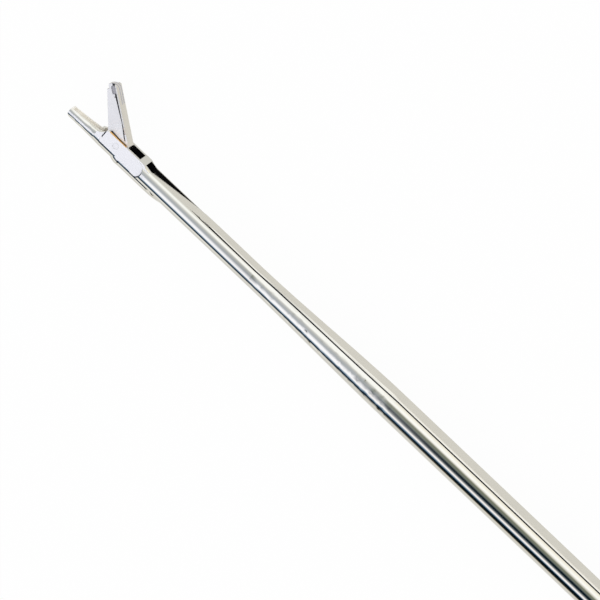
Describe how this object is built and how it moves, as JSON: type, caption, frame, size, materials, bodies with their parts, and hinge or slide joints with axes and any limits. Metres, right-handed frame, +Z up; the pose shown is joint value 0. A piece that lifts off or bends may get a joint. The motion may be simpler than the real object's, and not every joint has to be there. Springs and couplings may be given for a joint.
{
  "type": "arthroscopic forceps",
  "caption": "Sliding-rod arthroscopic forceps with a slim stepped shaft, a hinged punching jaw over a narrow planed jaw, and a ring handle with a thumb lever.",
  "frame": {"origin": "on the shaft's axis in the ferrule, where the shaft enters the handle, with the jaws open", "axes": "+X runs from the jaws to the handle, +Y is the way the upper jaw opens, +Z is up with the instrument lying on its side"},
  "size_m": [0.1931, 0.0792, 0.008],
  "materials": {
    "satin_steel": "drawn and polished stainless steel with a satin bloom",
    "jaw_steel": "ground stainless steel",
    "rod_steel": "planed and polished stainless steel",
    "pin_steel": "ground bright steel",
    "ferrule_steel": "turned stainless steel",
    "handle_steel": "satin stainless steel",
    "screw_steel": "bright turned steel",
    "washer_brass": "plain bearing bronze"
  },
  "bodies": {
    "frame": {"fixed_shaft": "satin_steel", "hinge_pin": "pin_steel", "rod_retaining_pin": "pin_steel", "ferrule": "ferrule_steel", "fixed_handle": "handle_steel", "shaft_pins": "pin_steel", "pivot_screw": "screw_steel", "thrust_washers": "washer_brass"},
    "lever": {"thumb_lever": "handle_steel", "pivot_bush": "washer_brass", "lever_drive_pin": "pin_steel"},
    "rod": {"actuating_rod": "rod_steel", "rod_end": "rod_steel", "rod_end_pins": "pin_steel"},
    "jaw": {"upper_jaw": "jaw_steel", "jaw_drive_pin": "pin_steel"}
  },
  "joints": [
    {"name": "lever_hinge", "type": "hinge", "parent": "frame", "child": "lever", "pos_m": [0.022, -0.0046, 0], "axis": [0, 0, -1], "range_deg": [0, 10.5]},
    {"name": "rod_slide", "type": "slide", "parent": "frame", "child": "rod", "axis": [1, 0, 0], "range_m": [0, 0.0009172]},
    {"name": "jaw_hinge", "type": "hinge", "parent": "frame", "child": "jaw", "pos_m": [-0.12255, 0.00025, 0], "axis": [0, 0, 1], "range_deg": [0, 47]}
  ],
  "couplings": [
    {"joint": "rod_slide", "follows": "lever_hinge", "m_per_rad": 0.005},
    {"joint": "jaw_hinge", "follows": "lever_hinge", "ratio": 4.475}
  ]
}
